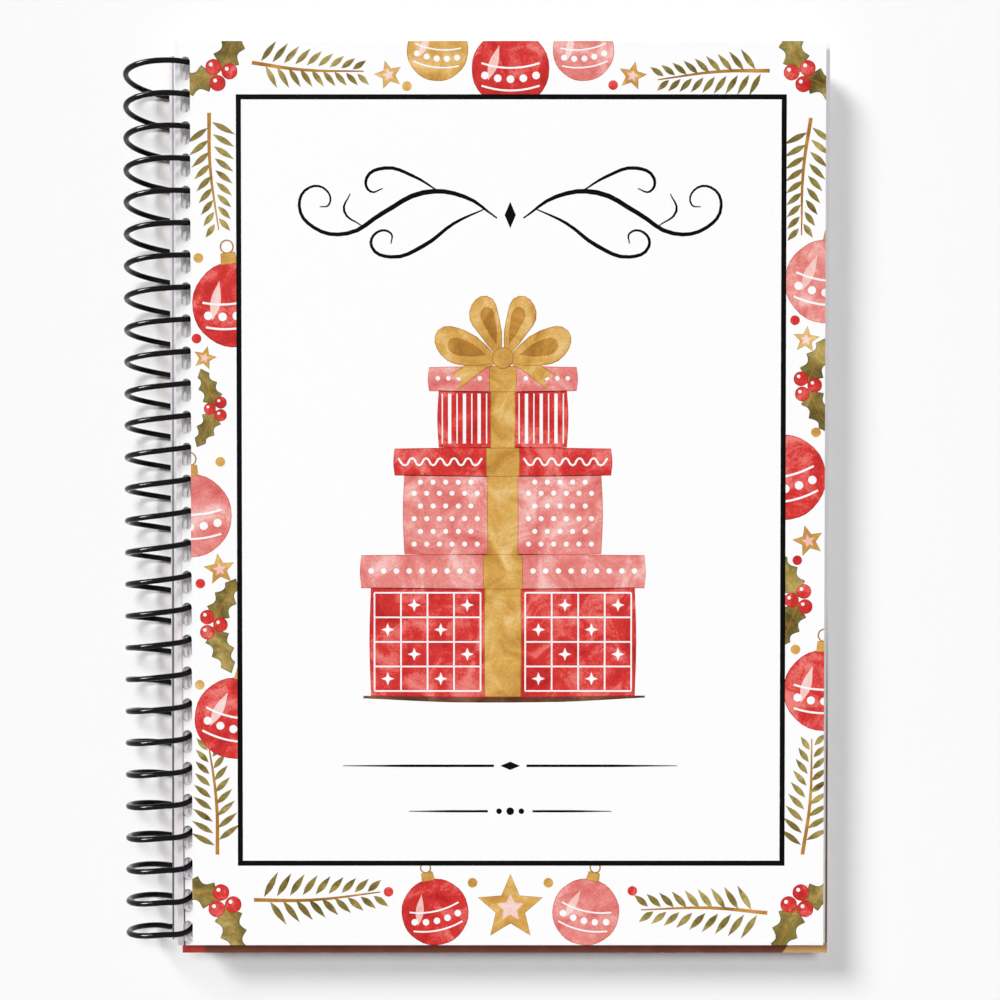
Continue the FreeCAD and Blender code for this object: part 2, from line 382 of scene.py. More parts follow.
def back_board():
    """Coated card: pale lavender inside, and outside a red-brown watercolour wash under a satin film."""
    low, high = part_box("back_cover")
    # the dark line of painted shade along the bound edge: where it lies at the foot and at the head, and
    # its half width
    bound_shade_at_foot, bound_shade_at_head = 0.14 * MM, 0.72 * MM
    bound_shade_half = 0.2 * MM
    material, tree, shader, place = new_material("satin_coated_back_board")
    fibre = add(tree, "ShaderNodeTexNoise", {"Vector": place, "Scale": 1 / (0.9 * MM), "Detail": 6.0})
    bloom = add(
        tree,
        "ShaderNodeTexNoise",
        {"Vector": place, "Scale": 1 / (24 * MM), "Detail": 6.0, "Roughness": 0.55, "Distortion": 0.6},
    )
    wash = add(tree, "ShaderNodeValToRGB", {"Fac": bloom.outputs["Fac"]})
    first, last = wash.color_ramp.elements
    first.position, first.color = 0.32, colour("#a3483a")
    last.position, last.color = 0.7, colour("#6b2c22")
    axes = add(tree, "ShaderNodeSeparateXYZ", {"Vector": place})
    outside = add(
        tree,
        "ShaderNodeMapRange",
        {"Value": axes.outputs["Z"], "From Min": low.z + FACE_DEPTH, "From Max": low.z + FACE_DEPTH / 3},
    )
    # a dark line of painted shade runs along the bound edge, deeper and nearer to it towards the foot
    bound_shade_place = add(
        tree,
        "ShaderNodeMapRange",
        {
            "Value": axes.outputs["Y"],
            "From Min": low.y,
            "From Max": high.y,
            "To Min": low.x + bound_shade_at_foot,
            "To Max": low.x + bound_shade_at_head,
        },
    )
    line = add(
        tree,
        "ShaderNodeMath",
        {0: axes.outputs["X"], 1: bound_shade_place.outputs["Result"], 2: bound_shade_half},
        operation="COMPARE",
    )
    depth = add(
        tree,
        "ShaderNodeMapRange",
        {
            "Value": axes.outputs["Y"],
            "From Min": 30 * MM,
            "From Max": -25 * MM,
            "To Min": 0.55,
            "To Max": 0.87,
        },
    )
    bound_shade = add(
        tree,
        "ShaderNodeMath",
        {0: line.outputs["Value"], 1: depth.outputs["Result"]},
        operation="MULTIPLY",
    )
    face = colour("#e9e6ec")
    for factor, shade in (
        (fibre.outputs["Fac"], colour("#dcd8df")),
        (outside.outputs["Result"], wash.outputs["Color"]),
        (bound_shade.outputs["Value"], colour("#302a2c")),
    ):
        blend = add(tree, "ShaderNodeMix", {"Factor": factor, "A": face, "B": shade}, data_type="RGBA")
        face = blend.outputs["Result"]
    bump = add(
        tree, "ShaderNodeBump", {"Height": fibre.outputs["Fac"], "Strength": 0.1, "Distance": 0.02 * MM}
    )
    tree.links.new(face, shader.inputs["Base Color"])
    tree.links.new(bump.outputs["Normal"], shader.inputs["Normal"])
    shader.inputs["Roughness"].default_value = 0.45
    shader.inputs["Specular IOR Level"].default_value = 0.25
    shader.inputs["IOR"].default_value = 1.48
    return material


def pocket_film():
    """Clear polypropylene film: nearly unseen face on, with a bright gloss broken by slight ripples."""
    material, tree, shader, place = new_material("clear_polypropylene_film")
    ripple = add(tree, "ShaderNodeTexNoise", {"Vector": place, "Scale": 1 / (18 * MM), "Detail": 2.0})
    haze = add(tree, "ShaderNodeTexNoise", {"Vector": place, "Scale": 1 / (2.5 * MM), "Detail": 4.0})
    gloss = add(
        tree, "ShaderNodeMapRange", {"Value": haze.outputs["Fac"], "To Min": 0.05, "To Max": 0.16}
    )
    opacity = add(
        tree, "ShaderNodeMapRange", {"Value": haze.outputs["Fac"], "To Min": 0.05, "To Max": 0.11}
    )
    bump = add(
        tree, "ShaderNodeBump", {"Height": ripple.outputs["Fac"], "Strength": 0.25, "Distance": 0.5 * MM}
    )
    tree.links.new(gloss.outputs["Result"], shader.inputs["Roughness"])
    tree.links.new(opacity.outputs["Result"], shader.inputs["Alpha"])
    tree.links.new(bump.outputs["Normal"], shader.inputs["Normal"])
    shader.inputs["Base Color"].default_value = colour("#f8fafb")
    shader.inputs["IOR"].default_value = 1.49
    return material


def pocket_seal():
    """Heat-welded film: frosted, with the fine crossed ridges of the welding bar."""
    material, tree, shader, place = new_material("heat_welded_polypropylene")
    ridges = []
    for turn in (45, -45):
        slant = (0, 0, math.radians(turn))
        turned = add(tree, "ShaderNodeMapping", {"Vector": place, "Rotation": slant})
        # a wave goes through 20 / (2 pi) bands in one unit, so the scale gives a ridge every 0.9 mm
        wave = add(
            tree,
            "ShaderNodeTexWave",
            {"Vector": turned.outputs["Vector"], "Scale": math.pi / 10 / (0.9 * MM)},
        )
        ridges.append(wave.outputs["Fac"])
    weld = add(tree, "ShaderNodeMath", {0: ridges[0], 1: ridges[1]}, operation="MULTIPLY")
    frost = add(
        tree, "ShaderNodeMapRange", {"Value": weld.outputs["Value"], "To Min": 0.3, "To Max": 0.5}
    )
    bump = add(
        tree, "ShaderNodeBump", {"Height": weld.outputs["Value"], "Strength": 0.5, "Distance": 0.05 * MM}
    )
    tree.links.new(frost.outputs["Result"], shader.inputs["Alpha"])
    tree.links.new(bump.outputs["Normal"], shader.inputs["Normal"])
    shader.inputs["Base Color"].default_value = colour("#f4f7f8")
    shader.inputs["Roughness"].default_value = 0.4
    shader.inputs["IOR"].default_value = 1.49
    return material


def printed_watercolour(name, pale, middle, deep, roughness=0.6, reflection=0.05):
    """Watercolour printed on coated card: pigment pooled in soft blooms, with a fine grain in it."""
    material, tree, shader, place = new_material(f"printed_{name}")
    bloom = add(
        tree,
        "ShaderNodeTexNoise",
        {"Vector": place, "Scale": 1 / (6.5 * MM), "Detail": 5.0, "Roughness": 0.6, "Distortion": 0.7},
    )
    # the pigment's grain is finer than this, and is drawn 0.45 mm coarse so that it shows
    grain = add(tree, "ShaderNodeTexNoise", {"Vector": place, "Scale": 1 / (0.45 * MM), "Detail": 3.0})
    depth = add(
        tree,
        "ShaderNodeMath",
        {0: grain.outputs["Fac"], 1: 0.22, 2: bloom.outputs["Fac"]},
        operation="MULTIPLY_ADD",
    )
    ramp = add(tree, "ShaderNodeValToRGB", {"Fac": depth.outputs["Value"]})
    first, last = ramp.color_ramp.elements
    first.position, first.color = 0.44, colour(pale)
    last.position, last.color = 0.8, colour(deep)
    between = ramp.color_ramp.elements.new(0.6)
    between.color = colour(middle)
    tree.links.new(ramp.outputs["Color"], shader.inputs["Base Color"])
    shader.inputs["Roughness"].default_value = roughness
    shader.inputs["Specular IOR Level"].default_value = reflection
    shader.inputs["IOR"].default_value = 1.48
    return material


def ink_materials():
    """The colours of the cover's print."""
    return {
        "red_wash": printed_watercolour("red_watercolour", "#ee827b", "#d93a37", "#b52324"),
        "red_rim": printed_watercolour("red_pigment_rim", "#cf3a35", "#b92b28", "#981f1e"),
        "coral_wash": printed_watercolour("coral_watercolour", "#f8c8c2", "#ea8f89", "#d7615c"),
        "coral_rim": printed_watercolour("coral_pigment_rim", "#e08780", "#d66e67", "#c0514c"),
        "gold_wash": printed_watercolour("gold_watercolour", "#ecc988", "#d9a856", "#b98438"),
        "gold_rim": printed_watercolour("gold_pigment_rim", "#cf9a48", "#b37d34", "#8f5f26"),
        "olive_wash": printed_watercolour("olive_watercolour", "#bda968", "#8e7d40", "#574a24"),
        "olive_rim": printed_watercolour("olive_pigment_rim", "#857236", "#665729", "#46391a"),
        "blush_wash": printed_watercolour("blush_watercolour", "#fbe3de", "#f7cdc6", "#f0b3aa"),
        "brown_wash": printed_watercolour("brown_watercolour", "#8a5a45", "#684030", "#48281d"),
        "white": printed_watercolour("white_gouache", "#fdfdfd", "#fbfafa", "#f6f3f2"),
        # a full black lies smoother on the card
        "black": printed_watercolour("black_ink", "#0a090a", "#070607", "#040404", roughness=0.3),
    }


# The coil


def wire_point(angle):
    """The middle of the wire at an angle about the coil's axis."""
    turns = (angle + LEAD_SWING * math.sin(angle - LEAD_SWING_ANGLE)) / (2 * math.pi)
    along = COVER_HIGH.y - FIRST_TURN_DROP - COIL_PITCH * turns
    from_hole = (angle - SAG_ANGLE + math.pi) % (2 * math.pi) - math.pi
    sag = max(0.0, SAG_START - along) * SAG_GROWTH * math.exp(-((from_hole / SAG_SPREAD) ** 2))
    return Vector(
        (AXIS_X + COIL_RADIUS * math.cos(angle), along - sag, AXIS_Z + COIL_RADIUS * math.sin(angle))
    )


def tail(end, inner, headward):
    """The points of a bent end: level with the surface, then along the coil over the sheets."""
    sideways = Vector((end.x - inner.x, end.y - inner.y, 0)).normalized()
    bend = end + sideways * TAIL_BEND + Vector((0, headward * TAIL_BEND, 0))
    bend.z = COIL_LOW.z + WIRE_RADIUS + 0.01 * MM
    middle = end.lerp(bend, 0.5) + sideways * TAIL_BEND * 0.2
    return [middle, bend, bend + Vector((0, headward * TAIL_LENGTH, 0))]


def make_coil():
    """One unbroken wire on a smooth curve, with both ends bent over on the surface."""
    first = START_ANGLE
    last = END_ANGLE + 2 * math.pi * (TURNS - 1)
    steps = POINTS_PER_TURN * TURNS
    points = [wire_point(first + (last - first) * step / steps) for step in range(steps + 1)]
    points = tail(points[0], points[1], -1)[::-1] + points + tail(points[-1], points[-2], 1)
    start_piece()
    bpy.ops.curve.primitive_bezier_curve_add()
    wire = bpy.context.object
    spline = wire.data.splines[0]
    spline.bezier_points.add(len(points) - len(spline.bezier_points))
    for knot, point in zip(spline.bezier_points, points):
        knot.co = point
        knot.handle_left_type = "AUTO"
        knot.handle_right_type = "AUTO"
        knot.radius = 1
    wire.location = (0, 0, 0)
    wire.data.dimensions = "3D"
    wire.data.resolution_u = 3
    wire.data.bevel_depth = WIRE_RADIUS
    wire.data.bevel_resolution = 3
    wire.data.use_fill_caps = True
    pick(wire)
    bpy.ops.object.convert(target="MESH")
    wire = settle(bpy.context.object, "coil_wire")
    close_up(wire, SAME_POINT)
    # smooth round the wire, and sharp at the rim of its cut ends
    bpy.ops.object.shade_smooth_by_angle(angle=math.radians(40))
    dress(wire, black_pvc())
    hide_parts("coil")
    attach(wire, "back")


make_coil()

# The front cover

# each hole is oval, because the wire runs along it as the cover turns over
HOLE_RADIUS = 0.92 * MM
HOLE_SIDES = 24
HOLE_ANGLE = math.asin(((COVER_LOW.z + COVER_HIGH.z) / 2 - AXIS_Z) / COIL_RADIUS)
FIRST_HOLE = wire_point(HOLE_ANGLE)
HOLE_RUN = FIRST_HOLE.y - wire_point(HOLE_ANGLE + math.pi).y
CUT_DEPTH = 2 * MM


def make_front_cover(card):
    """A card with a punched hole for each turn of the coil."""
    cover = box_piece("front_cover_card", COVER_LOW, COVER_HIGH)
    start_piece()
    bpy.ops.mesh.primitive_cylinder_add(
        vertices=HOLE_SIDES,
        radius=HOLE_RADIUS,
        depth=CUT_DEPTH,
        location=(FIRST_HOLE.x, FIRST_HOLE.y, (COVER_LOW.z + COVER_HIGH.z) / 2),
    )
    punch = settle(bpy.context.object, "punch")
    # the half of the punch nearer to the foot is drawn out along the cover
    edit_points(punch, lambda point: point.y < FIRST_HOLE.y - 0.01 * MM)
    bpy.ops.transform.translate(value=(0, -HOLE_RUN, 0))
    bpy.ops.object.mode_set(mode="OBJECT")
    use_modifier(
        punch,
        "ARRAY",
        count=TURNS,
        use_relative_offset=False,
        use_constant_offset=True,
        constant_offset_displace=(0, -COIL_PITCH, 0),
    )
    use_modifier(cover, "BOOLEAN", operation="DIFFERENCE", solver="EXACT", object=punch)
    bpy.data.objects.remove(punch)
    dress(cover, card)
    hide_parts("front_cover")
    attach(cover, "front")


card = cover_card()
make_front_cover(card)

# Print on the front cover, drawn in millimetres on the cover's own plane

# every ink is a thin closed film, and a later level lies a hair higher than what it is printed over
INK_STEP = 0.003
RIM = 0.16
SMOOTH, SHARP = "AUTO", "VECTOR"
PANEL_LEVEL = 9
FRAME_LOW, FRAME_HIGH = (-47.15, -72.2), (60.85, 79.6)
FRAME_LINE = 1.0
PRINT_LEFT = -56.2
CUT_ERROR = 1e-8
# the outlines and the pen lines drawn so far, by ink and level
fills = {}
strokes = {}


def moved(points, x, y, turn=0.0, size=1.0):
    """A motif's points turned by degrees, scaled and moved to their place."""
    cosine = math.cos(math.radians(turn)) * size
    sine = math.sin(math.radians(turn)) * size
    return [(x + px * cosine - py * sine, y + px * sine + py * cosine, mark) for px, py, mark in points]


def drawn_in(points, distance):
    """The same outline, anticlockwise, drawn in towards its middle."""
    inner = []
    for index, (x, y, mark) in enumerate(points):
        before, after = points[index - 1], points[(index + 1) % len(points)]
        along_x, along_y = after[0] - before[0], after[1] - before[1]
        step = distance / math.hypot(along_x, along_y)
        inner.append((x - along_y * step, y + along_x * step, mark))
    return inner


def fill(ink, level, points, *place):
    """A flat patch of ink. The third mark of a point is a smooth or a sharp corner."""
    fills.setdefault((ink, level), []).append(moved(points, *place) if place else points)


def stroke(ink, level, points, *place):
    """A pen line. The third number of a point is the line's width there."""
    strokes.setdefault((ink, level), []).append(moved(points, *place) if place else points)


def wash(ink, level, points, *place):
    """A patch of watercolour: a darker rim where the pigment dried, and the paler wash inside it."""
    outline = moved(points, *place) if place else points
    fill(f"{ink}_rim", level, outline)
    fill(f"{ink}_wash", level + 1, drawn_in(outline, RIM))


def disc(radius, count=6):
    turns = [2 * math.pi * step / count for step in range(count)]
    return [(radius * math.cos(turn), radius * math.sin(turn), SMOOTH) for turn in turns]


def star(outer, inner, tips=5):
    points = []
    for step in range(2 * tips):
        reach = inner if step % 2 else outer
        turn = math.pi / 2 + math.pi * step / tips
        points.append((reach * math.cos(turn), reach * math.sin(turn), SHARP))
    return points


def leaf(length, width):
    """A pointed leaf that grows from the origin along +Y."""
    side, belly = width / 2, 0.42 * length
    return [(0, 0, SHARP), (side, belly, SMOOTH), (0, length, SHARP), (-side, belly, SMOOTH)]


def holly_leaf(length, width):
    """A leaf with three points on each side."""
    right = [
        (0.30, 0.10, SMOOTH),
        (1.00, 0.24, SHARP),
        (0.62, 0.40, SMOOTH),
        (0.95, 0.55, SHARP),
        (0.45, 0.70, SMOOTH),
        (0.60, 0.82, SHARP),
    ]
    right = [(x * width / 2, y * length, mark) for x, y, mark in right]
    left = [(-x, y, mark) for x, y, mark in reversed(right)]
    return [(0, 0, SHARP), *right, (0, length, SHARP), *left]


# Motifs of the border


def fir_sprig(x, y, turn, size):
    """A twig with slim needles on both sides, getting shorter towards its tip."""
    pairs = 9
    stroke("gold_rim", 0, moved([(0, 0, 0.75), (0.5, 9, 0.6), (-0.2, 20, 0.25)], x, y, turn, size))
    for step in range(pairs):
        share = step / pairs
        length = 4.6 - 1.9 * share
        for side in (-1, 1):
            root = 1.6 + 2.05 * step + (0.9 if side > 0 else 0)
            [(root_x, root_y, _)] = moved([(side * 0.35, root, 0)], x, y, turn, size)
            lean = side * (58 - 22 * share)
            fill("olive_wash", 2, leaf(length, 1.0), root_x, root_y, turn - lean, size)


def holly(x, y, turn, size):
    """Two spiked leaves and three berries."""
    vein = [(0, 0.6, 0.3), (0, 4, 0.25), (0, 7.6, 0.12)]
    for lean in (-68, 62):
        [(root_x, root_y, _)] = moved([(0, 0.4, 0)], x, y, turn + lean, size)
        wash("olive", 2, holly_leaf(8.6, 4.4), root_x, root_y, turn + lean, size)
        stroke("gold_rim", 4, vein, root_x, root_y, turn + lean, size)
    for step in range(3):
        [(berry_x, berry_y, _)] = moved([(0, 1.5, 0)], x, y, turn + 120 * step, size)
        wash("red", 5, disc(1.25), berry_x, berry_y, 0, size)
        fill("white", 7, disc(0.3, 4), berry_x - 0.4 * size, berry_y + 0.4 * size, 0, size)


def bauble(ink, x, y, radius, turn=0.0):
    """A round tree ball with a dotted band, a soft glint, a cap and a loop.

    They are drawn on a ball whose radius is 1.
    """
    place = (x, y, turn, radius)
    band_sag = 0.22
    wash(ink, 4, disc(radius, 8), x, y, turn)
    [(glint_x, glint_y, _)] = moved([(-0.58, -0.3, 0)], *place)
    fill("blush_wash", 6, leaf(0.95, 0.24), glint_x, glint_y, turn - 18, radius)
    for height in (0.24, -0.34):
        line = []
        for across in (-0.75, -0.5, -0.25, 0, 0.25, 0.5, 0.75):
            line.append((across, height - band_sag * (1 - across**2), 0.05 * radius))
        stroke("white", 7, line, *place)
    for across in (-0.66, -0.33, 0, 0.33, 0.66):
        [(dot_x, dot_y, _)] = moved([(across, -0.05 - band_sag * (1 - across**2), 0)], *place)
        fill("white", 7, disc(0.1, 4), dot_x, dot_y, 0, radius)
    cap = [(-0.2, 0.95, SHARP), (0.2, 0.95, SHARP), (0.17, 1.22, SHARP), (-0.17, 1.22, SHARP)]
    wash("gold", 6, moved(cap, *place))
    turns = [0.7 * step for step in range(10)]
    loop = [(0.15 * math.cos(turned), 1.36 + 0.15 * math.sin(turned), 0.28) for turned in turns]
    stroke("gold_rim", 5, loop, *place)


def gold_star(x, y, reach, turn):
    """A gold star with a small pale one in its middle."""
    wash("gold", 2, star(reach, 0.45 * reach), x, y, turn)
    fill("blush_wash", 4, star(0.42 * reach, 0.2 * reach), x, y, turn)


def draw_border():
    """The motifs around the panel, on all four sides."""
    for place in (
        (-44.0, 85.8, -95, 1.1),
        (57.5, 84.2, 94, 1.1),
        (-44.0, -79.0, -87, 1.25),
        (57.5, -81.6, 88, 1.25),
        (-52.4, 76.0, 184, 1.15),
        (65.6, 75.0, 175, 1.15),
        (-51.2, -70.0, 4, 1.15),
        (64.4, -70.0, -5, 1.15),
    ):
        fir_sprig(*place)
    for place in (
        (-50.2, 83.6, 45, 1.25),
        (63.6, 83.4, -45, 1.25),
        (-50.0, -79.4, 135, 1.3),
        (63.6, -79.4, -135, 1.3),
        (-51.0, 18.0, 90, 0.95),
        (-52.2, -24.5, -90, 1.15),
        (64.8, 22.5, -85, 1.15),
        (63.8, -19.5, 95, 1.15),
    ):
        holly(*place)
    for ink, x, y, radius, turn in (
        ("red", 6.7, 84.6, 7.6, 0),
        ("gold", -7.6, 88.2, 6.0, -6),
        ("coral", 21.0, 88.2, 6.0, 6),
        ("red", -8.2, -81.4, 6.6, 12),
        ("coral", 21.6, -81.4, 6.6, -12),
        ("red", -47.4, 38.5, 8.4, 8),
        ("coral", -56.4, -3.0, 8.2, 0),
        ("red", -47.6, -43.0, 8.0, -10),
        ("coral", 68.8, 43.0, 8.2, -6),
        ("red", 60.4, 4.5, 8.4, 10),
        ("red", 68.6, -37.5, 8.0, 0),
    ):
        bauble(ink, x, y, radius, turn)
    for place in (
        (6.7, -80.6, 6.8, 0),
        (-17.2, 83.4, 2.9, 15),
        (30.6, 83.2, 2.9, -12),
        (-53.4, 28.0, 2.4, -14),
        (-50.6, -13.6, 3.2, 8),
        (64.8, 31.6, 2.7, -6),
        (65.4, -8.0, 3.2, 14),
    ):
        gold_star(*place)
    for ink, x, y in (
        ("gold_wash", -13.6, 81.2),
        ("red_wash", 26.8, 81.4),
        ("red_wash", -17.4, -77.4),
        ("red_wash", 30.8, -77.2),
        ("gold_wash", -0.8, -75.6),
        ("gold_wash", 14.2, -75.6),
        ("gold_wash", -54.6, 47.6),
        ("red_wash", -55.0, 31.8),
        ("gold_wash", -50.4, 7.6),
        ("red_wash", -54.4, -16.4),
        ("gold_wash", -54.6, -36.4),
        ("red_wash", 62.6, 35.4),
        ("gold_wash", 66.8, 13.4),
        ("red_wash", 63.2, -11.8),
        ("gold_wash", 62.9, -29.4),
    ):
        fill(ink, 2, disc(0.95), x, y)


# The panel, its frame and the ornaments in it


def plain_box(low, high):
    (left, bottom), (right, top) = low, high
    return [(left, bottom, SHARP), (right, bottom, SHARP), (right, top, SHARP), (left, top, SHARP)]


def draw_frame():
    """The panel's white ground, and a black line around it."""
    fill("card", PANEL_LEVEL, drawn_in(plain_box(FRAME_LOW, FRAME_HIGH), FRAME_LINE / 3))
    fill("black", PANEL_LEVEL + 1, plain_box(FRAME_LOW, FRAME_HIGH))
    inner_low = [side + FRAME_LINE for side in FRAME_LOW]
    inner_high = [side - FRAME_LINE for side in FRAME_HIGH]
    fill("black", PANEL_LEVEL + 1, plain_box(inner_low, inner_high))


def draw_scrolls():
    """A pen flourish above the picture and two fine rules below it, both the same left and right."""
    level = PANEL_LEVEL + 2
    middle_x, flourish_y, long_rule_y, short_rule_y = 6.65, 56.0, -52.4, -61.4
    # each point is across from the middle, up from the flourish's line, and the line's width there
    scrolls = (
        [
            *[(2.6, -0.6, 0.3), (9, 3.6, 0.8), (17, 4.4, 1.0), (25, 0.4, 0.9), (32, -3.6, 0.8)],
            *[(38.6, -2.4, 0.7), (41.4, 1.8, 0.6), (39.4, 5.4, 0.5), (36.0, 4.8, 0.4)],
            *[(35.6, 2.0, 0.35), (37.4, 1.6, 0.2)],
        ],
        [
            *[(5, 1.2, 0.25), (11, -1.6, 0.6), (17, -6.0, 0.8), (23.4, -8.2, 0.7), (27.2, -6.2, 0.6)],
            *[(26.2, -3.4, 0.5), (23.4, -3.6, 0.4), (23.4, -5.6, 0.2)],
        ],
        [
            *[(14, 4.6, 0.25), (19, 7.6, 0.6), (24.6, 9.2, 0.7), (28.2, 7.2, 0.6)],
            *[(27.4, 4.6, 0.45), (25.0, 5.2, 0.2)],
        ],
        [(29, -2.2, 0.2), (32.6, 0.8, 0.5), (31.4, 4.2, 0.2)],
    )
    rules = (
        (long_rule_y, [(3.2, 0.5), (20, 0.5), (33, 0.15)]),
        (short_rule_y, [(4.4, 0.45), (12, 0.45), (20, 0.15)]),
    )
    for side in (-1, 1):
        for scroll in scrolls:
            line = [(middle_x + side * x, flourish_y + y, width) for x, y, width in scroll]
            stroke("black", level, line)
        for height, rule in rules:
            stroke("black", level, [(middle_x + side * x, height, width) for x, width in rule])
        fill("black", level, disc(0.55), middle_x + side * 2.2, short_rule_y)
    diamond = star(2.6, 1.1, 2)
    fill("black", level, diamond, middle_x, flourish_y)
    fill("black", level, diamond, middle_x, long_rule_y, 90, 0.75)
    fill("black", level, disc(0.75), middle_x, short_rule_y)


# The stack of wrapped gifts

GIFT_X = 5.2
GIFT_LEVEL = PANEL_LEVEL + 2
PATTERN_LEVEL = GIFT_LEVEL + 3


def hand_drawn_box(half, low, high, swell):
    """A box with straight corners whose sides swell a little, as if drawn by hand."""
    middle = (low + high) / 2
    return [
        (GIFT_X - half, low, SHARP),
        (GIFT_X, low - swell, SMOOTH),
        (GIFT_X + half, low, SHARP),
        (GIFT_X + half + swell, middle, SMOOTH),
        (GIFT_X + half, high, SHARP),
        (GIFT_X, high + swell, SMOOTH),
        (GIFT_X - half, high, SHARP),
        (GIFT_X - half - swell, middle, SMOOTH),
    ]


def sides(half, ribbon):
    """Where a gift's wrapping shows, left and right of its ribbon."""
    edge, inner = half - 0.7, ribbon + 0.8
    return (-edge, -inner), (inner, edge)


def dots(half, ribbon, heights, gap, radius):
    """White dots in rows, each row half a gap away from the one below it."""
    for left, right in sides(half, ribbon):
        count = round((right - left) / gap)
        for place, height in enumerate(heights):
            for step in range(count - place % 2):
                across = left + (step + 0.5 + 0.5 * (place % 2)) * (right - left) / count
                fill("white", PATTERN_LEVEL, disc(radius, 4), GIFT_X + across, height)


def windowpane(half, ribbon, low, high, columns, rows):
    """Fine white lines up and across, with a star in every second field."""
    pen = 0.32
    for left, right in sides(half, ribbon):
        width, height = (right - left) / columns, (high - low) / rows
        for step in range(columns + 1):
            x = left + step * width
            stroke("white", PATTERN_LEVEL, [(x, low, pen), (x, high, pen)], GIFT_X, 0)
        for step in range(rows + 1):
            y = low + step * height
            stroke("white", PATTERN_LEVEL, [(left, y, pen), (right, y, pen)], GIFT_X, 0)
        for column in range(columns):
            for line in range(rows):
                if (column + line) % 2 == 0:
                    x = GIFT_X + left + (column + 0.5) * width
                    fill("white", PATTERN_LEVEL, star(1.3, 0.5, 4), x, low + (line + 0.5) * height)


def stripes(half, ribbon, low, high, count):
    """White stripes up the gift, a broad one after each fine one."""
    for left, right in sides(half, ribbon):
        for step in range(count):
            x = left + step * (right - left) / (count - 1)
            width = 0.65 if step % 2 else 0.25
            stroke("white", PATTERN_LEVEL, [(x, low, width), (x, high, width)], GIFT_X, 0)


def wave(half, ribbon, height, count):
    """A wavy white line along a lid."""
    for left, right in sides(half, ribbon):
        width = right - left
        points = [(left + step * width / count, 0.7 * (-1) ** step, 0.4) for step in range(count + 1)]
        stroke("white", PATTERN_LEVEL, points, GIFT_X, height)


def draw_gift(half, low, high, lid, body_ink, lid_ink, ribbon):
    """One box with its lid and its ribbon."""
    wash(body_ink, GIFT_LEVEL, hand_drawn_box(half, low, high, 0.3))
    wash("gold", GIFT_LEVEL + 2, hand_drawn_box(ribbon, low - 0.1, high, 0.1))
    wash(lid_ink, GIFT_LEVEL + 1, hand_drawn_box(half + 1.9, high - 0.3, high + lid, 0.25))
    wash("gold", GIFT_LEVEL + 4, hand_drawn_box(ribbon + 0.25, high - 0.45, high + lid + 0.1, 0.1))


def draw_gifts():
    """Three gifts, the largest below, each with its own pattern, on a strip of ground."""
    draw_gift(26.0, -38.6, -17.0, 6.2, "red", "coral", 3.6)
    windowpane(26.0, 3.6, -37.6, -18.2, 4, 4)
    dots(27.9, 3.9, (-13.9,), 2.4, 0.55)
    draw_gift(19.4, -10.6, 5.2, 5.0, "coral", "red", 3.0)
    dots(19.4, 3.0, (-8.6, -6.1, -3.6, -1.1, 1.4, 3.6), 2.5, 0.5)
    wave(21.3, 3.3, 7.6, 12)
    draw_gift(12.6, 10.4, 21.8, 4.4, "red", "coral", 2.4)
    stripes(12.6, 2.4, 11.2, 21.0, 7)
    dots(14.5, 2.7, (24.0,), 2.0, 0.45)
    ground = [(-27.5, -38.8, 0.5), (-10, -39.2, 1.3), (12, -39.1, 1.3), (28, -38.7, 0.4)]
    stroke("brown_wash", PANEL_LEVEL + 1, ground, GIFT_X, 0)


def draw_bow():
    """A gold bow on the top gift: two tails, two wide loops, two upright ones and the knot."""
    level = GIFT_LEVEL + 6
    foot = 27.4
    root = (-0.25, 0)
    tail_end = [
        *[(-3.4, -1.6, SMOOTH), (-8.6, -5.6, SHARP), (-8.2, -3.4, SHARP)],
        *[(-10.2, -2.6, SHARP), (-4, 0.6, SMOOTH)],
    ]
    wide_loop = [(-6, -1.0), (-12.2, 1.2), (-12.8, 6.0), (-7.4, 6.0)]
    wide_hole = [(-7.0, 0.9), (-10.6, 2.2), (-10.4, 4.2), (-7.0, 3.9)]
    tall_loop = [(-4.0, 4.4), (-6.6, 9.6), (-3.2, 12.8), (-0.6, 8.0)]
    tall_hole = [(-3.4, 6.6), (-4.4, 9.6), (-2.8, 10.6), (-1.4, 7.6)]

    def drop_shape(tip, rounded):
        return [(*tip, SHARP), *[(x, y, SMOOTH) for x, y in rounded]]

    for side in (1, -1):
        for points, is_hole, layer in (
            ([(*root, SHARP), *tail_end], False, level),
            (drop_shape(root, tall_loop), False, level + 2),
            (drop_shape((-1.2, 3.2), tall_hole), True, level + 4),
            (drop_shape(root, wide_loop), False, level + 5),
            (drop_shape((-3.2, 1.2), wide_hole), True, level + 7),
        ):
            outline = [(GIFT_X + side * x, foot + y, mark) for x, y, mark in points]
            anticlockwise = outline[::-1] if side > 0 else outline
            if is_hole:
                fill("gold_rim", layer, anticlockwise)
            else:
                wash("gold", layer, anticlockwise)
    wash("gold", level + 8, moved(disc(2.1, 8), GIFT_X, foot + 0.6))


# From outlines to thin films of ink


def trim(film):
    """Cuts an ink off at the cover's edges and at the margin that the coil goes through."""
    pick(film)
    bpy.ops.object.mode_set(mode="EDIT")
    for co, no in (
        ((PRINT_LEFT * MM, 0, 0), (-1, 0, 0)),
        ((COVER_HIGH.x, 0, 0), (1, 0, 0)),
        ((0, COVER_LOW.y, 0), (0, -1, 0)),
        ((0, COVER_HIGH.y, 0), (0, 1, 0)),
    ):
        bpy.ops.mesh.select_all(action="SELECT")
        bpy.ops.mesh.bisect(
            plane_co=co, plane_no=no, use_fill=True, clear_outer=True, threshold=CUT_ERROR
        )
    bpy.ops.object.mode_set(mode="OBJECT")


